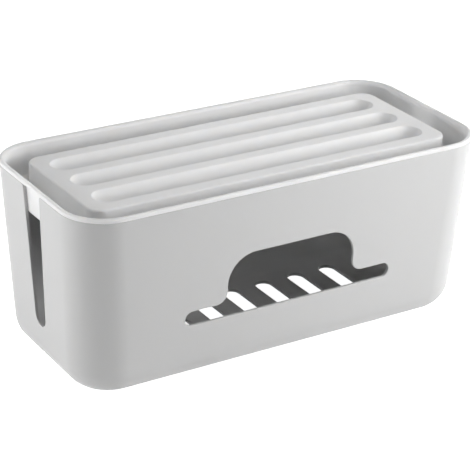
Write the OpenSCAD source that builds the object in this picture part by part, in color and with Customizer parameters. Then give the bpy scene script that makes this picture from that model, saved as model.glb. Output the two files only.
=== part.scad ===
// Cable management box: a long desk-top box that hides a power strip and its chargers.
// A loose lid with a finger moat and three phone grooves drops over the tub.
// Units are millimetres, +Z is up, the front faces -Y and Z = 0 is the desk top.

/* [Box] */
// Overall length, left to right
body_l = 310; // [270:1:360]
// Overall width, front to back
body_w = 140; // [130:1:180]
// Overall height from the desk to the lid's rim
body_h = 132.5; // [125:0.5:170]
// Radius of the four upright corners, the same all the way up
corner_r = 30; // [28:1:36]
// How far each wall leans in from the top edge to the base
draft_inset = 7; // [2:0.5:9]
// Radius where the walls turn into the underside
base_r = 18; // [10:1:19]
// Thickness of the walls
wall = 2.2; // [1.6:0.1:3]
// Thickness of the floor
floor_t = 2.5; // [1.8:0.1:4]

/* [Front opening] */
// Half length of the low wide part that the cables leave through
brim_half = 79.5; // [70:0.5:90]
// Underside of the low wide part, above the desk
brim_low = 43.7; // [36:0.1:46]
// Height of the low wide part
brim_h = 10.4; // [8:0.1:14]
// Half length of the tall middle part
dome_half = 48.7; // [40:0.1:54]
// Top of the tall middle part, above the desk
dome_top = 87.3; // [80:0.1:94]
// Radius of the tall part's upper corners
dome_r = 20; // [10:1:22]
// Radius where the tall part runs into the low part
brim_fillet = 8; // [4:0.5:10]

/* [End slots] */
// Radius of the slot's round lower end
slot_r = 7.2; // [5:0.1:8.5]
// Lowest point of the slot, above the desk
slot_low = 32.5; // [28:0.5:50]
// Lean of each slot side, in degrees
slot_taper = 2.7; // [1.5:0.1:3.5]
// Radius of the slot's mouth corners
mouth_r = 1.8; // [1:0.1:3]

/* [Floor vents] */
// Number of slots in the floor
vent_count = 8; // [4:1:9]
// Width of one floor slot
vent_w = 12.6; // [6:0.1:14]
// From the end of a floor slot to the edge of the flat floor
vent_end_gap = 9.5; // [6:0.5:20]
// From the outermost floor slot to the foot beside it
vent_foot_gap = 8.8; // [6:0.1:14]

/* [Lid] */
// Height of the lid's outer edge above the tub
edge_h = 3; // [2.6:0.1:4]
// Thickness of the lid's sheet
sheet = 1.5; // [1.2:0.1:2]
// Gap between the lid's skirt and the tub's wall
lid_fit = 0.3; // [0.2:0.05:0.6]
// Rounding of the lid's outer edge
edge_r = 1; // [0.6:0.1:1.2]
// Depth of the moat below the rim
moat_depth = 22.6; // [16:0.1:26]
// Rounding in the bottom of the moat
moat_r = 1.5; // [0.8:0.1:3]
// From the box's end to the raised middle
plateau_end_inset = 18.5; // [17:0.1:24]
// From the box's front and back to the raised middle
plateau_side_inset = 21.1; // [18:0.1:24]
// Spread of the raised middle's wall from its top to the moat's bottom
plateau_draft = 0.8; // [0.3:0.1:1.2]
// Drop of the raised middle below the rim
plateau_drop = 3; // [1:0.5:5]
// Corner radius of the raised middle
plateau_r = 10.5; // [8:0.5:20]
// Rounding of the raised middle's top edge
plateau_edge_r = 1.2; // [0.8:0.1:4]

/* [Phone grooves] */
// Number of grooves
groove_count = 3; // [1:1:3]
// Width of one groove, over its soft edges
groove_w = 21.4; // [12:0.1:22]
// Depth of one groove
groove_depth = 6.5; // [3:0.1:8]
// Rounding of the groove's edge
groove_lip_r = 0.9; // [0.6:0.1:2]
// From a groove's end to the edge of the raised middle
groove_end_gap = 10; // [8:0.5:20]
// From the outermost groove to the edge of the raised middle
groove_side_gap = 9.2; // [8:0.1:14]

/* [Feet] */
// Diameter of a rubber foot
foot_d = 14; // [10:1:16]
// How far a foot stands out of the underside
foot_h = 2; // [1.5:0.1:3]
// Depth of the pocket that holds a foot
pocket_depth = 1; // [0.6:0.1:1.2]
// Gap around a foot in its pocket
foot_fit = 0.1; // [0.05:0.05:0.3]
// Bevel on the foot's lower edge
foot_bevel = 0.6; // [0.2:0.1:1]

/* [Hidden] */
// Facets in a quarter turn of a corner, of a section's rounding and of a groove's end
corner_n = 10;
arc_n = 4;
end_n = 7;
$fn = 48;
// Reach of a cutter past the face that it opens
over = 10;
tub_top = body_h - edge_h;
half_l = body_l / 2;
half_w = body_w / 2;
inner_base_r = base_r - wall;
plateau_z = body_h - plateau_drop;
moat_z = body_h - moat_depth;
skirt_z = moat_z - sheet;
skirt_in = wall + lid_fit;
moat_out = skirt_in + sheet;
rim_r = moat_out - edge_r;
bend_r = moat_r + sheet;
plateau_half_l = half_l - plateau_end_inset;
plateau_half_w = half_w - plateau_side_inset;
foot_x = half_l - draft_inset - corner_r;
foot_y = half_w - draft_inset - corner_r;
vent_half = half_w - draft_inset - base_r - vent_end_gap;
vent_pitch = (2 * foot_x - foot_d - 2 * vent_foot_gap - vent_w) / (vent_count - 1);
groove_half = plateau_half_l - groove_end_gap;
groove_mouth = groove_w / 2;
groove_pitch = plateau_half_w - groove_side_gap - groove_mouth;
groove_r = (pow(groove_mouth, 2) + pow(groove_depth, 2)) / (2 * groove_depth) - groove_lip_r;
groove_cz = groove_r - groove_depth;
groove_turn = atan2(groove_cz + groove_lip_r, groove_mouth);
slot_cz = slot_low + slot_r;
shell_white = [0.93, 0.93, 0.92];
lid_white = [0.97, 0.97, 0.96];
rubber_grey = [0.35, 0.35, 0.36];

// ---- Shapes shared by the parts ----

// Points of an arc from angle a to angle b about [x, y]
function arc(x, y, r, a, b, n) =
    [for (k = [0:n]) let (t = a + (b - a) * k / n) [x + r * cos(t), y + r * sin(t)]];

// A half outline and its mirror image, joined in one loop
function both_sides(half) =
    concat(half, [for (k = [len(half) - 1:-1:0]) [-half[k][0], half[k][1]]]);

// A point past q on the line from p, so that a cutter leaves a face at a clear angle
function past(p, q) = q + (q - p) * 2;

// One level ring of a loft: half length, half width and corner radius at height z
function ring(z, hx, hy, r, n) =
    [for (q = [0:3], k = [0:n])
        let (
            t = 90 * (q + k / n),
            sx = (q == 0 || q == 3) ? 1 : -1,
            sy = (q < 2) ? 1 : -1
        )
        [sx * (hx - r) + r * cos(t), sy * (hy - r) + r * sin(t), z]];

// Inset of the leaning walls at height z, none above the tub's top
function lean(z) = draft_inset * max(0, tub_top - z) / (tub_top - foot_h);

// One level ring with round ends, for a groove
function oval(z, hx, hy, n) =
    [for (s = [0:1], k = [0:2 * n])
        let (t = 180 * s - 90 + 90 * k / n)
        [(s == 0 ? 1 : -1) * (hx - hy) + hy * cos(t), hy * sin(t), z]];

// A solid skin through rings that all have the same number of points.
// The first ring closes the solid below and the last one closes it above.
module loft(rings) {
    m = len(rings[0]);
    last = len(rings) - 1;
    polyhedron(
        points = [for (loop = rings) each loop],
        faces = concat(
            [[for (k = [0:m - 1]) k]],
            [for (i = [0:last - 1], k = [0:m - 1])
                [i * m + k, (i + 1) * m + k, (i + 1) * m + (k + 1) % m, i * m + (k + 1) % m]],
            [[for (k = [m - 1:-1:0]) last * m + k]]
        )
    );
}

// ---- Tub ----

// Tub ring at height z, a distance d inside the drafted outer face
function tub_ring(z, d) =
    let (inset = lean(z) + d)
    ring(z, half_l - inset, half_w - inset, corner_r - d, corner_n);

// Rings of a rounded base, turned from flat (90) to upright (0)
function base_rings(z, r, d, from, to) =
    [for (k = [0:corner_n])
        let (t = from + (to - from) * k / corner_n)
        tub_ring(z + r * (1 - sin(t)), d + r * (1 - cos(t)))];

// The skin runs up the outside, over the top edge and down the inside
module tub_shell() {
    loft(concat(
        base_rings(foot_h, base_r, 0, 90, 0),
        [tub_ring(tub_top, 0), tub_ring(tub_top, wall)],
        base_rings(foot_h + floor_t, inner_base_r, wall, 0, 90)
    ));
}

// A low wide slit with a tall rounded middle, for cables and for a hand
module front_opening() {
    end_r = brim_h / 2;
    shoulder = brim_low + brim_h;
    half = concat(
        arc(brim_half - end_r, brim_low + end_r, end_r, -90, 90, corner_n),
        arc(dome_half + brim_fillet, shoulder + brim_fillet, brim_fillet, -90, -180, end_n),
        arc(dome_half - dome_r, dome_top - dome_r, dome_r, 0, 90, corner_n)
    );
    translate([0, -half_w / 2, 0])
        rotate([90, 0, 0])
            linear_extrude(height = half_w / 2 + over)
                polygon(both_sides(half));
}

// Half width of an end slot at height z
function slot_side(z) = slot_r / cos(slot_taper) + (z - slot_cz) * tan(slot_taper);

// The slots are open at the top, so that a plug's cable drops in
module end_slots() {
    mouth_z = tub_top - mouth_r;
    mouth = arc(slot_side(mouth_z) + mouth_r / cos(slot_taper), mouth_z, mouth_r,
        180 - slot_taper, 90, end_n);
    half = concat(
        arc(0, slot_cz, slot_r, -90, -slot_taper, corner_n),
        mouth,
        [past(mouth[end_n - 1], mouth[end_n])],
        [[past(mouth[end_n - 1], mouth[end_n])[0], tub_top + over]]
    );
    outline = concat(half, [for (k = [len(half) - 1:-1:1]) [-half[k][0], half[k][1]]]);
    rotate([90, 0, 90])
        linear_extrude(height = body_l + over, center = true)
            polygon(outline);
}

// A row of slots that lets warm air in from below
module floor_vents() {
    end_r = vent_w / 2;
    half = arc(0, vent_half - end_r, end_r, 180, 0, 2 * end_n);
    outline = concat(half, [for (p = half) [-p[0], -p[1]]]);
    for (i = [0:vent_count - 1])
        translate([(i - (vent_count - 1) / 2) * vent_pitch, 0, 0])
            linear_extrude(height = foot_h + floor_t + over)
                polygon(outline);
}

// Shallow seats for the feet, on the axes of the upright corners
module foot_pockets() {
    for (x = [-foot_x, foot_x], y = [-foot_y, foot_y])
        translate([x, y, foot_h - over])
            cylinder(h = over + pocket_depth, r = foot_d / 2 + foot_fit);
}

module tub() {
    color(shell_white)
        difference() {
            tub_shell();
            front_opening();
            end_slots();
            floor_vents();
            foot_pockets();
        }
}

// ---- Lid ----

// Lid rings from [inset, z] pairs, measured from the box's face or from the raised middle's
function outer_rings(pairs) =
    [for (p = pairs) tub_ring(p[1], p[0])];

function middle_rings(pairs) =
    [for (p = pairs)
        ring(p[1], plateau_half_l - p[0], plateau_half_w - p[0], plateau_r - p[0], corner_n)];

// The skin runs from the hollow under the middle, round the skirt and over the rim,
// then down into the moat and up onto the raised middle
module lid_shell() {
    loft(concat(
        middle_rings(concat(
            [[sheet, plateau_z - sheet]],
            arc(sheet - plateau_draft - bend_r, skirt_z + bend_r, bend_r, 0, -90, arc_n)
        )),
        outer_rings(concat(
            arc(skirt_in + bend_r, skirt_z + bend_r, bend_r, -90, -180, arc_n),
            [[skirt_in, tub_top], [0, tub_top]],
            arc(edge_r, body_h - edge_r, edge_r, 180, 90, arc_n),
            arc(edge_r, body_h - rim_r, rim_r, 90, 0, 2 * arc_n),
            arc(moat_out + moat_r, moat_z + moat_r, moat_r, 180, 270, arc_n)
        )),
        middle_rings(concat(
            arc(-plateau_draft - moat_r, moat_z + moat_r, moat_r, -90, 0, arc_n),
            arc(plateau_edge_r, plateau_z - plateau_edge_r, plateau_edge_r, 180, 90, arc_n)
        ))
    ));
}

// Half width and height of the groove's skin, a distance d outside its surface
function groove_point(t, d) =
    [(groove_r + d) * cos(t), plateau_z + groove_cz + (groove_r + d) * sin(t)];

function groove_ring(p) = oval(p[1], groove_half - groove_mouth + p[0], p[0], end_n);

// The hollow that a phone stands in, with soft edges
module groove_hollow() {
    lip = arc(groove_mouth, plateau_z - groove_lip_r, groove_lip_r, 180 - groove_turn, 90, arc_n);
    trough = [for (k = [1:end_n])
        groove_point(-90 + (90 - groove_turn) * k / (end_n + 0.5), 0)];
    profile = concat(trough, lip, [past(lip[arc_n - 1], lip[arc_n])]);
    loft([for (p = profile) groove_ring(p)]);
}

// The sheet below a groove
module groove_shell() {
    start = asin((groove_cz + sheet / 2) / (groove_r + sheet));
    loft([for (k = [1:end_n])
        groove_ring(groove_point(-90 + (90 - start) * k / end_n, sheet))]);
}

module in_each_groove() {
    for (i = [0:groove_count - 1])
        translate([0, (i - (groove_count - 1) / 2) * groove_pitch, 0])
            children();
}

module lid() {
    color(lid_white)
        difference() {
            union() {
                lid_shell();
                in_each_groove()
                    groove_shell();
            }
            in_each_groove()
                groove_hollow();
        }
}

// ---- Feet ----

module foot(x, y) {
    r = foot_d / 2;
    color(rubber_grey)
        translate([foot_x * x, foot_y * y, 0]) {
            cylinder(h = foot_bevel, r1 = r - foot_bevel, r2 = r);
            translate([0, 0, foot_bevel])
                cylinder(h = foot_h + pocket_depth - foot_bevel, r = r);
        }
}

module foot_front_left() {
    foot(-1, -1);
}

module foot_front_right() {
    foot(1, -1);
}

module foot_back_left() {
    foot(-1, 1);
}

module foot_back_right() {
    foot(1, 1);
}

tub();
lid();
foot_front_left();
foot_front_right();
foot_back_left();
foot_back_right();
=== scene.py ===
# %% [markdown]
# # A cable management box
# The object is a long moulded box that hides a power strip. It has a tub with a stepped cable
# opening in its front, a lid that lifts off, and four rubber feet. The CAD model gives the frame:
# the bodies, their places and the real sizes. This notebook dresses it, one piece at a time.

import math

import bmesh
import bpy
import numpy as np
from mathutils import Matrix, Vector


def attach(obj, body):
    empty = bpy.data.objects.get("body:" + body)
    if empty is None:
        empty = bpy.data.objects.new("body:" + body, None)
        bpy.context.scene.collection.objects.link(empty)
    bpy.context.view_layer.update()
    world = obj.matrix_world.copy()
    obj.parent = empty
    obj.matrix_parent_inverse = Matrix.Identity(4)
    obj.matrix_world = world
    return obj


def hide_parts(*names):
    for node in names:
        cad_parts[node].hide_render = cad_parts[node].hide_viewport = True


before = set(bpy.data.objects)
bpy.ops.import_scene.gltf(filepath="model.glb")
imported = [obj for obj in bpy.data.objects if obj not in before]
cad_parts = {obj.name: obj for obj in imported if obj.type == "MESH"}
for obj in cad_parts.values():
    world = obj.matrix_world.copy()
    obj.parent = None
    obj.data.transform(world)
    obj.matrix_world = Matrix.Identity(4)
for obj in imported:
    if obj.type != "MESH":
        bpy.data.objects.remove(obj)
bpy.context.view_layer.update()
MM = 0.001

# %% [markdown]
# ## Camera
# The camera comes first, so that every piece can be judged from the right place. It is a long
# lens from the front left, a little above the box, with a slight roll. A matrix built from
# azimuth, elevation and roll says this more plainly than three Euler angles.

# %% Make the camera
CAMERA_PLACE = Vector((-605.2, -957.5, 589.1)) * MM
AZIMUTH, ELEVATION, ROLL = (math.radians(v) for v in (-32.19, 24.86, 1.64))
LENS, SENSOR = 140.24, 36
HALF_PIXEL = 0.5 / 470
FAR_CLIP = 20


def camera_axes(azimuth, elevation, roll):
    """Right, up and back vectors of a camera that looks at the object."""
    back = Vector((
        math.sin(azimuth) * math.cos(elevation),
        -math.cos(azimuth) * math.cos(elevation),
        math.sin(elevation),
    ))
    level = Vector((math.cos(azimuth), math.sin(azimuth), 0))
    rise = back.cross(level)
    right = level * math.cos(roll) + rise * math.sin(roll)
    up = rise * math.cos(roll) - level * math.sin(roll)
    return right, up, back


scene = bpy.context.scene
camera_data = bpy.data.cameras.new("camera")
camera_data.lens = LENS
camera_data.sensor_width = SENSOR
camera_data.shift_x = -HALF_PIXEL
camera_data.shift_y = HALF_PIXEL
camera_data.clip_end = FAR_CLIP
camera = bpy.data.objects.new("camera", camera_data)
turn = Matrix(camera_axes(AZIMUTH, ELEVATION, ROLL)).transposed().to_4x4()
camera.matrix_world = Matrix.Translation(CAMERA_PLACE) @ turn
scene.collection.objects.link(camera)
scene.camera = camera
print("camera at", [round(v, 3) for v in camera.location])

# %% [markdown]
# ## Rings and skins
# Every moulding here is a rounded rectangle whose size changes with height. So each one is a
# stack of rings: a ring is a loop of points at one height, and a skin joins neighbouring rings
# with four-sided faces. Blender's own bevels could round a plain box too, but rings give each
# height its exact size, and the same corner radius at every height gives the box even corners.

# %% Ring and skin helpers
CORNER_STEPS = 20
MERGE = 1e-7


def arc(x, y, radius, start, end, steps):
    """Points on an arc about (x, y), angles in degrees."""
    turns = np.radians(np.linspace(start, end, steps + 1))
    return [(x + radius * math.cos(t), y + radius * math.sin(t)) for t in turns]


def ring(z, half_x, half_y, radius, steps=CORNER_STEPS):
    """A rounded rectangle at height z, in mm."""
    points = []
    for quarter, (sx, sy) in enumerate(((1, 1), (-1, 1), (-1, -1), (1, -1))):
        centre_x = sx * (half_x - radius)
        centre_y = sy * (half_y - radius)
        start = 90 * quarter
        points += arc(centre_x, centre_y, radius, start, start + 90, steps)
    return [(x, y, z) for x, y in points]


def oval(z, half_x, half_y, steps=CORNER_STEPS):
    """A slot outline with round ends along X, at height z, in mm."""
    reach = half_x - half_y
    points = arc(reach, 0, half_y, -90, 90, 2 * steps)
    points += arc(-reach, 0, half_y, 90, 270, 2 * steps)
    return [(x, y, z) for x, y in points]


def as_piece(name, bm):
    """Makes an object of a bmesh, with its doubles merged and its faces turned outwards."""
    bmesh.ops.remove_doubles(bm, verts=bm.verts, dist=MERGE)
    bmesh.ops.recalc_face_normals(bm, faces=bm.faces)
    mesh = bpy.data.meshes.new(name)
    bm.to_mesh(mesh)
    bm.free()
    piece = bpy.data.objects.new(name, mesh)
    scene.collection.objects.link(piece)
    return piece


def skin(name, rings):
    """A closed body through rings of equal length, in mm; the ends are capped."""
    bm = bmesh.new()
    loops = [[bm.verts.new(Vector(p) * MM) for p in points] for points in rings]
    count = len(loops[0])
    bm.faces.new(loops[0][::-1])
    for low, high in zip(loops, loops[1:]):
        for k in range(count):
            after = (k + 1) % count
            bm.faces.new((low[k], low[after], high[after], high[k]))
    bm.faces.new(loops[-1])
    return as_piece(name, bm)


print("helpers ready; a ring has", len(ring(0, 50, 30, 10)), "points")

# %% [markdown]
# ## Sizes
# These are the sizes of the real moulding, in millimetres. Walls lean outwards by a few degrees
# so that the part leaves its mould, which is why the top is larger than the base.

# %% Box sizes
HALF_L, HALF_W, HEIGHT = 155, 70, 132.5
FOOT_H, EDGE_H = 2, 3
TUB_TOP = HEIGHT - EDGE_H
CORNER_R, DRAFT, BASE_R = 30, 7, 18
WALL, FLOOR = 2.2, 2.5
SOFT = 0.4


def lean(z):
    """How far the draft brings the wall in at height z; nothing above the tub's top."""
    return DRAFT * max(0, TUB_TOP - z) / (TUB_TOP - FOOT_H)


def tub_ring(z, inset):
    """A ring of the tub, a given distance inside its outer face."""
    return ring(z, HALF_L - lean(z) - inset, HALF_W - lean(z) - inset, CORNER_R - inset)


def base_rings(z, radius, inset, start, end, steps=14):
    """Rings round a base, from the flat underside (90 degrees) to the upright wall (0) or back."""
    rings = []
    for t in np.radians(np.linspace(start, end, steps + 1)):
        rise = radius * (1 - math.sin(t))
        rings.append(tub_ring(z + rise, inset + radius * (1 - math.cos(t))))
    return rings


print("the walls lean", round(math.degrees(math.atan(DRAFT / (TUB_TOP - FOOT_H))), 2), "degrees")

# %% [markdown]
# ## Tub shell
# The tub is one sheet of plastic: up the outside, over the top edge and down the inside. The top
# edge is softened, because a moulded edge is never knife sharp and its small round catches light.

# %% Make the tub shell
edge = arc(SOFT, TUB_TOP - SOFT, SOFT, 180, 90, 4)
edge += arc(WALL - SOFT, TUB_TOP - SOFT, SOFT, 90, 0, 4)
edge_rings = [tub_ring(z, inset) for inset, z in edge]
tub_shell = skin(
    "tub_shell",
    base_rings(FOOT_H, BASE_R, 0, 90, 0)
    + edge_rings
    + base_rings(FOOT_H + FLOOR, BASE_R - WALL, WALL, 0, 90),
)
print("tub shell:", len(tub_shell.data.polygons), "faces")

# %% [markdown]
# ## Cutters with soft lips
# A hole in a moulded sheet has a small round on both faces. A bevel after the cut often breaks on
# such shapes, so the cutter itself carries the round: its outline is widest at each face of the
# sheet and narrowest inside it. The outline is moved out along its own normals at each depth.
# The first step of the round is drawn out past the face, so that the cutter crosses the face at a
# slant and leaves no sliver there.

# %% Cutter helper
LIP_STEPS = 4
PAST = 3


def grow(outline, distance):
    """The outline moved out by a distance; it runs counter-clockwise."""
    pts = np.array(outline, float)
    ahead = np.roll(pts, -1, 0) - np.roll(pts, 1, 0)
    ahead /= np.linalg.norm(ahead, axis=1)[:, None]
    return pts + distance * np.stack([ahead[:, 1], -ahead[:, 0]], 1)


def lip_steps(thickness, lip, reach):
    """(depth, growth) pairs through a sheet that is met at depth 0."""
    turns = np.radians(np.linspace(0, 90, LIP_STEPS + 1))
    near = [(lip * (1 - math.cos(t)), lip * (1 - math.sin(t))) for t in turns]
    widest = lip + PAST * (near[0][1] - near[1][1])
    there = [(-reach, widest), (-PAST * near[1][0], widest)] + near[1:]
    back = [(thickness - depth, growth) for depth, growth in there[::-1]]
    return there + back


def cutter(name, outline, thickness, place, lip=SOFT, reach=6):
    """A cutter through a sheet. place turns (u, v, depth) into the row frame."""
    rings = []
    for depth, growth in lip_steps(thickness, lip, reach):
        rings.append([place(u, v, depth) for u, v in grow(outline, growth)])
    return skin(name, rings)


print("a lip of", SOFT, "mm in", LIP_STEPS, "steps")

# %% [markdown]
# ## Front opening
# A low wide slit lets flat cables out side by side, and its tall middle takes a plug or a hand.
# It is drawn as one outline of arcs. The cutter leans with the front wall, so that its lips
# follow the wall's two faces.

# %% Cut outline of the front opening
BRIM_HALF, BRIM_LOW, BRIM_H = 79.5, 43.7, 10.4
DOME_HALF, DOME_TOP, DOME_R, BRIM_FILLET = 48.7, 87.3, 20, 8
shoulder = BRIM_LOW + BRIM_H
brim_end = BRIM_H / 2
right_side = (
    arc(BRIM_HALF - brim_end, BRIM_LOW + brim_end, brim_end, -90, 90, 20)
    + arc(DOME_HALF + BRIM_FILLET, shoulder + BRIM_FILLET, BRIM_FILLET, -90, -180, 12)
    + arc(DOME_HALF - DOME_R, DOME_TOP - DOME_R, DOME_R, 0, 90, 20)
)
opening_outline = right_side + [(-x, z) for x, z in right_side[::-1]]
LEAN_ANGLE = math.atan(DRAFT / (TUB_TOP - FOOT_H))


def on_front(u, v, depth):
    """A point at height v and at a depth behind the front wall's outer face."""
    y = -(HALF_W - lean(v)) + depth * math.cos(LEAN_ANGLE)
    return (u, y, v + depth * math.sin(LEAN_ANGLE))


front_cutter = cutter("front_cutter", opening_outline, WALL, on_front)
print("front opening:", len(opening_outline), "points")

# %% [markdown]
# ## End slots
# Each end wall has a slot that is open at the top, so that a mains cable drops in. Its sides lean
# apart, its lower end is round, and its mouth corners are rounded outwards. Those rounds stop a
# few degrees short of level, and the outline goes on at a slant above the tub, so that the cutter
# opens the top edge as well.

# %% Cut outline of the end slots
SLOT_R, SLOT_LOW, SLOT_TAPER, MOUTH_R = 7.2, 32.5, 2.7, 1.8
MOUTH_END, ASIDE, JUST_ABOVE, ABOVE = 96, 2, 0.2, 4
slot_centre = SLOT_LOW + SLOT_R


def slot_side(z):
    """Half width of a slot at height z."""
    taper = math.radians(SLOT_TAPER)
    return SLOT_R / math.cos(taper) + (z - slot_centre) * math.tan(taper)


mouth_z = TUB_TOP - MOUTH_R
mouth_y = slot_side(mouth_z) + MOUTH_R / math.cos(math.radians(SLOT_TAPER))
slot_right = (
    arc(0, slot_centre, SLOT_R, -90, -SLOT_TAPER, 12)
    + arc(mouth_y, mouth_z, MOUTH_R, 180 - SLOT_TAPER, MOUTH_END, 8)
    + [(mouth_y + ASIDE, TUB_TOP + above) for above in (JUST_ABOVE, ABOVE)]
)
slot_outline = slot_right + [(-y, z) for y, z in slot_right[:0:-1]]


def on_end(side):
    """A placing function for the end wall at side -1 or +1."""

    def place(u, v, depth):
        x = HALF_L - lean(v) - depth * math.cos(LEAN_ANGLE)
        return (side * x, side * u, v + depth * math.sin(LEAN_ANGLE))

    return place


slot_cutters = [cutter(f"slot_cutter_{i}", slot_outline, WALL, on_end(s))
                for i, s in enumerate((-1, 1))]
print("slot half widths:", round(slot_side(slot_centre), 2), "to", round(slot_side(TUB_TOP), 2))

# %% [markdown]
# ## Floor vents and foot seats
# Warm air rises through a row of slots in the floor. One slot cutter is made here, at the middle,
# and a node tree repeats it in the next step. The feet get round seats on the corner axes.

# %% Make one vent cutter and one seat cutter
VENT_W, VENT_HALF, VENT_PITCH, VENT_COUNT = 12.6, 35.5, 27.4, 8
FOOT_R, FOOT_X, FOOT_Y = 7, 118, 33
SEAT, SEAT_FIT, SEAT_STEPS = 1, 0.1, 40
vent_outline = [(x, y) for x, y, _ in oval(0, VENT_HALF, VENT_W / 2, 8)]


def on_floor(u, v, depth):
    """The slot runs from front to back; depth goes up from the underside."""
    return (-v, u, FOOT_H + depth)


vent_cutter = cutter("vent_cutter", vent_outline, FLOOR, on_floor)
seat_outline = arc(0, 0, FOOT_R + SEAT_FIT, 0, 360, SEAT_STEPS)[:-1]
seat_cutter = skin(
    "seat_cutter",
    [[(x, y, z) for x, y in seat_outline] for z in (-FOOT_H, FOOT_H + SEAT)],
)
print("vent cutter:", len(vent_cutter.data.polygons), "faces")

# %% [markdown]
# ## A node tree that cuts rows
# Geometry Nodes are made for what repeats. This tree takes a moulding and a cutter, sets copies
# of the cutter on a grid of points, and subtracts them. Count and pitch are inputs, so the row
# can change without touching the mesh. The tub's floor, the foot seats and the lid's grooves all
# use it. Without the boolean the same tree just sets a row, which is how the feet get their places.

# %% Build the row cutting tree
def tree_input(tree, name, kind, default=None):
    """Adds a named input to a node tree and returns its identifier."""
    socket = tree.interface.new_socket(name=name, in_out="INPUT", socket_type=kind)
    if default is not None:
        socket.default_value = default
    return socket.identifier


def math_node(tree, operation, *values):
    """The result of a math node whose values are numbers or other nodes' sockets."""
    node = tree.nodes.new("ShaderNodeMath")
    node.operation = operation
    for socket, value in zip(node.inputs, values):
        if isinstance(value, (int, float)):
            socket.default_value = value
        else:
            tree.links.new(value, socket)
    return node.outputs[0]


def row_tree(name, operation=None):
    """Sets copies of a tool on a grid, and cuts them out or joins them if told to."""
    tree = bpy.data.node_groups.new(name, "GeometryNodeTree")
    tree.interface.new_socket(name="Geometry", in_out="OUTPUT", socket_type="NodeSocketGeometry")
    ids = {"Geometry": tree_input(tree, "Geometry", "NodeSocketGeometry")}
    ids["Tool"] = tree_input(tree, "Tool", "NodeSocketObject")
    for axis in "XY":
        ids[f"Count {axis}"] = tree_input(tree, f"Count {axis}", "NodeSocketInt", 1)
        ids[f"Pitch {axis}"] = tree_input(tree, f"Pitch {axis}", "NodeSocketFloat", 0.01)
    ids["Material"] = tree_input(tree, "Material", "NodeSocketMaterial")
    new, link = tree.nodes.new, tree.links.new
    source = new("NodeGroupInput").outputs
    grid = new("GeometryNodeMeshGrid")
    for axis in "XY":
        count, pitch = source[f"Count {axis}"], source[f"Pitch {axis}"]
        one_less = math_node(tree, "MULTIPLY", pitch, -1)
        link(math_node(tree, "MULTIPLY_ADD", count, pitch, one_less), grid.inputs[f"Size {axis}"])
        link(count, grid.inputs[f"Vertices {axis}"])
    tool = new("GeometryNodeObjectInfo")
    link(source["Tool"], tool.inputs["Object"])
    copies = new("GeometryNodeInstanceOnPoints")
    link(grid.outputs["Mesh"], copies.inputs["Points"])
    link(tool.outputs["Geometry"], copies.inputs["Instance"])
    real = new("GeometryNodeRealizeInstances")
    link(copies.outputs["Instances"], real.inputs["Geometry"])
    made = real.outputs["Geometry"]
    if operation:
        boolean = new("GeometryNodeMeshBoolean")
        boolean.operation = operation
        boolean.solver = "EXACT"
        side = "Mesh 1" if operation == "DIFFERENCE" else "Mesh 2"
        link(source["Geometry"], boolean.inputs[side])
        link(made, boolean.inputs["Mesh 2"])
        made = boolean.outputs["Mesh"]
    finish = new("GeometryNodeSetMaterial")
    link(made, finish.inputs["Geometry"])
    link(source["Material"], finish.inputs["Material"])
    link(finish.outputs["Geometry"], new("NodeGroupOutput").inputs[0])
    return tree, ids


def run_tree(piece, tree_and_ids, **values):
    """Runs a tree on a piece and keeps the result as the piece's plain mesh."""
    tree, ids = tree_and_ids
    modifier = piece.modifiers.new("nodes", "NODES")
    modifier.node_group = tree
    for key, value in values.items():
        modifier[ids[key.replace("_", " ")]] = value
    graph = bpy.context.evaluated_depsgraph_get()
    mesh = bpy.data.meshes.new_from_object(piece.evaluated_get(graph), depsgraph=graph)
    piece.modifiers.remove(modifier)
    piece.data = mesh
    print(piece.name, "after", tree.name + ":", len(mesh.polygons), "faces")
    return piece


cut_rows = row_tree("cut rows", "DIFFERENCE")
add_rows = row_tree("add rows", "UNION")
set_rows = row_tree("set rows")

# %% [markdown]
# ## Shader groups
# Moulded plastic looks flat until three small things are added: a very fine grain from the
# tool's surface, slow waves in the gloss where it cooled unevenly, and a trace of dust and
# handling that changes the colour by a percent or two. All three are noise at different scales,
# so one group makes them and each material sets its own amounts.

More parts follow.
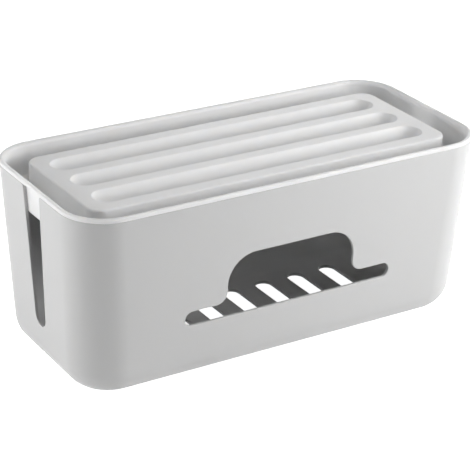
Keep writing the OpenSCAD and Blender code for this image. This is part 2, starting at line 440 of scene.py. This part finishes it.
# %% Build the moulded surface group
def moulded_group():
    """Colour, roughness and height that change over a moulded surface."""
    tree = bpy.data.node_groups.new("moulded surface", "ShaderNodeTree")
    for name, kind, value in (
        ("Colour", "NodeSocketColor", (0.8, 0.8, 0.8, 1)),
        ("Tint", "NodeSocketColor", (0.75, 0.74, 0.72, 1)),
        ("Tint Amount", "NodeSocketFloat", 0.05),
        ("Roughness", "NodeSocketFloat", 0.4),
        ("Roughness Change", "NodeSocketFloat", 0.05),
        ("Grain Scale", "NodeSocketFloat", 2500),
    ):
        tree_input(tree, name, kind, value)
    for name, kind in (
        ("Colour", "NodeSocketColor"),
        ("Roughness", "NodeSocketFloat"),
        ("Height", "NodeSocketFloat"),
    ):
        tree.interface.new_socket(name=name, in_out="OUTPUT", socket_type=kind)
    new, link = tree.nodes.new, tree.links.new
    source = new("NodeGroupInput").outputs
    result = new("NodeGroupOutput").inputs
    place = new("ShaderNodeTexCoord").outputs["Object"]

    def noise(detail, scale=None):
        """A noise value over the surface; without a scale its socket is left to be linked."""
        node = new("ShaderNodeTexNoise")
        node.inputs["Detail"].default_value = detail
        if scale:
            node.inputs["Scale"].default_value = scale
        link(place, node.inputs["Vector"])
        return node

    dust = noise(4, scale=28).outputs["Fac"]
    mix = new("ShaderNodeMix")
    mix.data_type = "RGBA"
    link(math_node(tree, "MULTIPLY", dust, source["Tint Amount"]), mix.inputs["Factor"])
    link(source["Colour"], mix.inputs[6])
    link(source["Tint"], mix.inputs[7])
    link(mix.outputs[2], result["Colour"])
    wave = math_node(tree, "SUBTRACT", noise(3, scale=14).outputs["Fac"], 0.5)
    rough = math_node(tree, "MULTIPLY_ADD", wave, source["Roughness Change"], source["Roughness"])
    link(rough, result["Roughness"])
    grain = noise(2)
    link(source["Grain Scale"], grain.inputs["Scale"])
    link(grain.outputs["Fac"], result["Height"])
    return tree


moulded = moulded_group()
print("group sockets:", [s.name for s in moulded.interface.items_tree])

# %% [markdown]
# ## Plastic and rubber
# The tub and the lid are satin polypropylene. Light goes a little way into such plastic, so both
# use subsurface scattering. The lid is thinner and whiter than the tub and lets light through:
# a translucent shader mixed with the Principled one does that for a sheet of any thickness, so the
# skirt glows where the end slots let light fall on its back. The feet are dark soft rubber, which
# is rougher and lets no light in.

# %% Make the materials
PLASTIC_IOR = 1.49


def moulded_material(name, colour, tint, roughness, values, grain=0.02, scatter=0, radius=0,
                     through=0, gloss=0.5):
    """A moulded material whose base colour, roughness and height come from the group."""
    material = bpy.data.materials.new(name)
    material.use_nodes = True
    nodes, link = material.node_tree.nodes, material.node_tree.links.new
    shader = nodes["Principled BSDF"]
    group = nodes.new("ShaderNodeGroup")
    group.node_tree = moulded
    group.inputs["Colour"].default_value = (*colour, 1)
    group.inputs["Tint"].default_value = (*tint, 1)
    group.inputs["Roughness"].default_value = roughness
    for key, value in values.items():
        group.inputs[key].default_value = value
    bump = nodes.new("ShaderNodeBump")
    bump.inputs["Strength"].default_value = 1
    bump.inputs["Distance"].default_value = grain * MM
    link(group.outputs["Height"], bump.inputs["Height"])
    link(group.outputs["Colour"], shader.inputs["Base Color"])
    link(group.outputs["Roughness"], shader.inputs["Roughness"])
    link(bump.outputs["Normal"], shader.inputs["Normal"])
    shader.inputs["IOR"].default_value = PLASTIC_IOR
    shader.inputs["Specular IOR Level"].default_value = gloss
    if scatter:
        shader.inputs["Subsurface Weight"].default_value = scatter
        shader.inputs["Subsurface Radius"].default_value = (1, 0.97, 0.92)
        shader.inputs["Subsurface Scale"].default_value = radius * MM
    if through:
        sheet = nodes.new("ShaderNodeBsdfTranslucent")
        both = nodes.new("ShaderNodeMixShader")
        both.inputs["Fac"].default_value = through
        link(group.outputs["Colour"], sheet.inputs["Color"])
        link(shader.outputs["BSDF"], both.inputs[1])
        link(sheet.outputs["BSDF"], both.inputs[2])
        link(both.outputs["Shader"], nodes["Material Output"].inputs["Surface"])
    return material


tub_plastic = moulded_material(
    "tub plastic", (0.56, 0.56, 0.56), (0.52, 0.52, 0.515), 0.42,
    {"Tint Amount": 0.08, "Roughness Change": 0.08, "Grain Scale": 2600},
    scatter=1, radius=0.25, gloss=0.2,
)
lid_plastic = moulded_material(
    "lid plastic", (0.96, 0.96, 0.96), (0.92, 0.92, 0.915), 0.42,
    {"Tint Amount": 0.08, "Roughness Change": 0.08, "Grain Scale": 2600},
    scatter=1, radius=0.5, through=0.3, gloss=0.4,
)
foot_rubber = moulded_material(
    "foot rubber", (0.09, 0.09, 0.095), (0.16, 0.155, 0.15), 0.75,
    {"Tint Amount": 0.5, "Roughness Change": 0.15, "Grain Scale": 1400}, grain=0.06,
)
print("materials:", tub_plastic.name, lid_plastic.name, foot_rubber.name)

# %% [markdown]
# ## Cut the tub
# The front opening and the end slots are single cuts, and the vents and seats are rows of the
# same tool. The tools are thrown away afterwards.

# %% Cut the tub
for tool in (front_cutter, *slot_cutters):
    run_tree(tub_shell, cut_rows, Tool=tool)
run_tree(tub_shell, cut_rows, Tool=vent_cutter, Count_X=VENT_COUNT, Pitch_X=VENT_PITCH * MM)
tub = run_tree(
    tub_shell, cut_rows, Tool=seat_cutter, Material=tub_plastic,
    Count_X=2, Pitch_X=2 * FOOT_X * MM, Count_Y=2, Pitch_Y=2 * FOOT_Y * MM,
)
tub.name = "tub_moulding"

# %% [markdown]
# ## Lid shell
# The lid is one sheet too. Its section goes from the hollow under the raised middle, round the
# skirt that hangs inside the tub, over the rim that covers the tub's edge, down into the moat for
# the fingers and up onto the raised middle.

# %% Make the lid shell
SHEET, LID_FIT, LID_EDGE_R, RIM_R = 1.5, 0.3, 1, 3
MOAT_DEPTH, MOAT_DRAFT, MOAT_R = 22.6, 0.8, 1.5
MIDDLE_HALF_L, MIDDLE_HALF_W, MIDDLE_DROP = 136.5, 48.9, 3
MIDDLE_R, MIDDLE_EDGE_R = 10.5, 1.2
middle_z = HEIGHT - MIDDLE_DROP
moat_z = HEIGHT - MOAT_DEPTH
skirt_z = moat_z - SHEET
skirt_in = WALL + LID_FIT
moat_out = skirt_in + SHEET
bend = MOAT_R + SHEET


def outer_rings(pairs):
    """Rings from (inset, z) pairs whose corners follow the box."""
    return [tub_ring(z, d) for d, z in pairs]


def middle_rings(pairs):
    """Rings from (inset, z) pairs whose corners follow the raised middle."""
    return [ring(z, MIDDLE_HALF_L - d, MIDDLE_HALF_W - d, MIDDLE_R - d) for d, z in pairs]


under = [(SHEET, middle_z - SHEET)]
under += arc(SHEET - MOAT_DRAFT - bend, skirt_z + bend, bend, 0, -90, 8)
around = arc(skirt_in + bend, skirt_z + bend, bend, -90, -180, 8)
around += [(skirt_in, TUB_TOP)]
around += arc(SOFT, TUB_TOP + SOFT, SOFT, 270, 180, 4)
around += arc(LID_EDGE_R, HEIGHT - LID_EDGE_R, LID_EDGE_R, 180, 90, 6)
around += arc(moat_out - RIM_R, HEIGHT - RIM_R, RIM_R, 90, 0, 10)
around += arc(moat_out + MOAT_R, moat_z + MOAT_R, MOAT_R, 180, 270, 5)
inside = arc(-MOAT_DRAFT - MOAT_R, moat_z + MOAT_R, MOAT_R, -90, 0, 5)
inside += arc(MIDDLE_EDGE_R, middle_z - MIDDLE_EDGE_R, MIDDLE_EDGE_R, 180, 90, 8)
lid_shell = skin("lid_shell", middle_rings(under) + outer_rings(around) + middle_rings(inside))
print("lid shell:", len(lid_shell.data.polygons), "faces")

# %% [markdown]
# ## Phone grooves
# Three round-bottomed grooves in the raised middle hold a phone or a tablet upright. Each is a
# stack of oval rings: a trough arc, then a lip arc that turns out onto the flat. The arc starts
# two degrees short of straight down, because an oval has to have some width. The sheet below
# follows the trough, so the underside gets a matching bulge.

# %% Make one groove cutter and one groove underside
GROOVE_W, GROOVE_DEPTH, GROOVE_LIP = 21.4, 6.5, 0.9
GROOVE_HALF, GROOVE_COUNT, GROOVE_PITCH = 126.5, 3, 29
GROOVE_START = -88
mouth = GROOVE_W / 2
groove_r = (mouth**2 + GROOVE_DEPTH**2) / (2 * GROOVE_DEPTH) - GROOVE_LIP
groove_up = groove_r - GROOVE_DEPTH
lip_turn = math.degrees(math.atan2(groove_up + GROOVE_LIP, mouth))
trough = arc(0, middle_z + groove_up, groove_r, GROOVE_START, -lip_turn, 18)
lip_arc = arc(mouth, middle_z - GROOVE_LIP, GROOVE_LIP, 180 - lip_turn, 90, 8)
(x0, z0), (x1, z1) = lip_arc[-2:]
lip_arc.append((x1 + 2 * (x1 - x0), z1 + 2 * (z1 - z0)))


def groove_rings(section):
    """Oval rings along a groove, from the (half width, z) pairs of its section."""
    return [oval(z, GROOVE_HALF - mouth + half, half, 12) for half, z in section]


groove_cutter = skin("groove_cutter", groove_rings(trough + lip_arc[1:]))
bulge_end = math.degrees(math.asin((groove_up + SHEET / 2) / (groove_r + SHEET)))
bulge = arc(0, middle_z + groove_up, groove_r + SHEET, GROOVE_START, -bulge_end, 16)
groove_under = skin("groove_under", groove_rings(bulge))
print("trough radius", round(groove_r, 2), "mm")

# %% Join the groove undersides, then cut the grooves
run_tree(lid_shell, add_rows, Tool=groove_under, Count_Y=GROOVE_COUNT, Pitch_Y=GROOVE_PITCH * MM)
lid = run_tree(
    lid_shell, cut_rows, Tool=groove_cutter, Material=lid_plastic,
    Count_Y=GROOVE_COUNT, Pitch_Y=GROOVE_PITCH * MM,
)
lid.name = "lid_moulding"

# %% [markdown]
# ## Rubber feet
# A foot is a turned disc with a soft lower edge and a shallow dish in its sole, which grips a
# desk better than a flat one. One profile is spun into a foot, and the row tree sets four of them.

# %% Build the feet
DISH = 0.25
foot_top = FOOT_H + SEAT
sole = [(2.6, DISH), (2.1, 0.05), (1.8, 0), (1.1, 0), (0.6, 0.06), (0.2, 0.28), (0, 0.7)]
top_edge = [(0, 0.4), (0.1, 0.15), (0.4, 0)]
foot_profile = [(0, DISH)]
foot_profile += [(FOOT_R - inset, rise) for inset, rise in sole]
foot_profile += [(FOOT_R - inset, foot_top - drop) for inset, drop in top_edge]
foot_profile += [(0, foot_top)]


def spun(name, profile, steps=48):
    """A closed body of revolution about Z from (radius, z) pairs, in mm."""
    bm = bmesh.new()
    points = [bm.verts.new(Vector((r, 0, z)) * MM) for r, z in profile]
    edges = [bm.edges.new(pair) for pair in zip(points, points[1:])]
    bmesh.ops.spin(
        bm, geom=points + edges, axis=(0, 0, 1), cent=(0, 0, 0),
        angle=math.tau, steps=steps, use_merge=True,
    )
    return as_piece(name, bm)


one_foot = spun("one_foot", foot_profile)
feet = bpy.data.objects.new("rubber_feet", bpy.data.meshes.new("rubber_feet"))
scene.collection.objects.link(feet)
run_tree(
    feet, set_rows, Tool=one_foot, Material=foot_rubber,
    Count_X=2, Pitch_X=2 * FOOT_X * MM, Count_Y=2, Pitch_Y=2 * FOOT_Y * MM,
)

# %% Remove the tools
for tool in (front_cutter, *slot_cutters, vent_cutter, seat_cutter, groove_cutter,
             groove_under, one_foot):
    bpy.data.objects.remove(tool)

# %% [markdown]
# ## Smooth shading
# Every edge has a real round now, so the whole surface is shaded smooth. Large flat faces must
# not be bent by their small neighbours, so normals are weighted by face area.

# %% Shade the mouldings
def shade(piece, angle=40):
    """Smooth shading with area weighted normals, and sharp only past an angle."""
    mesh = piece.data
    for polygon in mesh.polygons:
        polygon.use_smooth = True
    mesh.set_sharp_from_angle(angle=math.radians(angle))
    weight = piece.modifiers.new("weighted normals", "WEIGHTED_NORMAL")
    weight.keep_sharp = True
    print(piece.name, len(mesh.polygons), "faces")


for piece in (tub, lid, feet):
    shade(piece)

# %% [markdown]
# ## Put the pieces on the CAD bodies
# The tub and the feet stay put, and the lid rides on the body that lifts.

# %% Ride and replace
foot_nodes = [f"foot_{row}_{side}" for row in ("front", "back") for side in ("left", "right")]
for piece, body, slot_name, cad_nodes in (
    (tub, "tub", "tub_plastic", ["tub"]),
    (lid, "lid", "lid_plastic", ["lid"]),
    (feet, "tub", "foot_rubber", foot_nodes),
):
    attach(piece, body)
    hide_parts(*cad_nodes)
    print(piece.name, "rides on", body)

# %% [markdown]
# ## Floor
# The object stands on a white table that runs out of view. To the camera and in reflections the
# table glows white of itself, so the background is white and no lamp has to be strong enough to
# make it so. To all other light it is plain pale paint with a faint change of tone.

# %% Make the floor
FLOOR_HALF = 6
floor_mesh = bpy.data.meshes.new("floor")
floor_corners = [(x * FLOOR_HALF, y * FLOOR_HALF, 0) for x, y in ((-1, -1), (1, -1), (1, 1), (-1, 1))]
floor_mesh.from_pydata(floor_corners, [], [(0, 1, 2, 3)])
floor = bpy.data.objects.new("floor", floor_mesh)
scene.collection.objects.link(floor)
floor_paint = bpy.data.materials.new("white table")
floor_paint.use_nodes = True
nodes, link = floor_paint.node_tree.nodes, floor_paint.node_tree.links.new
paint = nodes["Principled BSDF"].inputs
paint["Roughness"].default_value = 0.9
paint["Specular IOR Level"].default_value = 0.1
change = nodes.new("ShaderNodeTexNoise")
change.inputs["Scale"].default_value = 6
tones = nodes.new("ShaderNodeValToRGB")
tones.color_ramp.elements[0].color = (0.80, 0.80, 0.80, 1)
tones.color_ramp.elements[1].color = (0.84, 0.84, 0.84, 1)
link(nodes.new("ShaderNodeTexCoord").outputs["Object"], change.inputs["Vector"])
link(change.outputs["Fac"], tones.inputs["Fac"])
link(tones.outputs["Color"], paint["Base Color"])
rays = nodes.new("ShaderNodeLightPath").outputs
seen = math_node(floor_paint.node_tree, "MAXIMUM", rays["Is Camera Ray"], rays["Is Glossy Ray"])
paint["Emission Color"].default_value = (1, 1, 1, 1)
link(seen, paint["Emission Strength"])
floor.data.materials.append(floor_paint)
print("floor:", 2 * FLOOR_HALF, "m square")

# %% [markdown]
# ## Light
# A large low key box stands off the right front, and its light rakes over the lid, so that each
# groove has a bright far side and a dark near side. A smaller box stands nearer, before the right
# end, so that the front wall grows brighter from left to right. The left end has a low panel and a
# higher box of its own. Between the two sides the near corner stays darker, which shows its
# roundness. Four more boxes fill in from above, from the right end and from behind. The one behind
# the right end stands where the camera sees it mirrored in the lid's flats, which sets them off
# from the grooves. The world is white to the camera alone, for views that look over the edge of
# the floor, and gives no light of its own.

# %% Make the lamps
AIM = Vector((0, 0, 0.06))


def soft_box(name, azimuth, elevation, distance, size, power):
    """An area lamp, in m and W, that looks at the box; azimuth 0 is before it, 90 to its right."""
    a, e = math.radians(azimuth), math.radians(elevation)
    way = Vector((math.sin(a) * math.cos(e), -math.cos(a) * math.cos(e), math.sin(e)))
    data = bpy.data.lights.new(name, "AREA")
    data.shape = "RECTANGLE"
    data.size, data.size_y = size
    data.energy = power
    lamp = bpy.data.objects.new(name, data)
    lamp.location = AIM + way * distance
    lamp.rotation_euler = (-way).to_track_quat("-Z", "Y").to_euler()
    scene.collection.objects.link(lamp)


soft_box("key box", 48, 18, 1.2, (1.1, 0.45), 8.6)
soft_box("front box", 30, 22, 0.8, (0.4, 0.4), 2.5)
soft_box("high right box", 45, 62, 1.2, (0.5, 0.5), 3.3)
soft_box("right end box", 112, 15, 1.2, (0.5, 0.5), 1.5)
soft_box("mirrored box", 146, 20, 1.2, (0.5, 0.5), 2.5)
soft_box("back box", 200, 25, 1.2, (0.5, 0.5), 2.3)
soft_box("left box", 250, 45, 1.2, (0.5, 0.5), 3.5)
soft_box("low left panel", 268, 5, 0.8, (0.5, 0.24), 2.7)

# %% Make the world
world = bpy.data.worlds.new("studio")
world.use_nodes = True
nodes, link = world.node_tree.nodes, world.node_tree.links.new
sky = nodes["Background"].inputs
sky["Color"].default_value = (1, 1, 1, 1)
link(nodes.new("ShaderNodeLightPath").outputs["Is Camera Ray"], sky["Strength"])
scene.world = world
scene.view_settings.view_transform = "Standard"
print("world:", world.name)
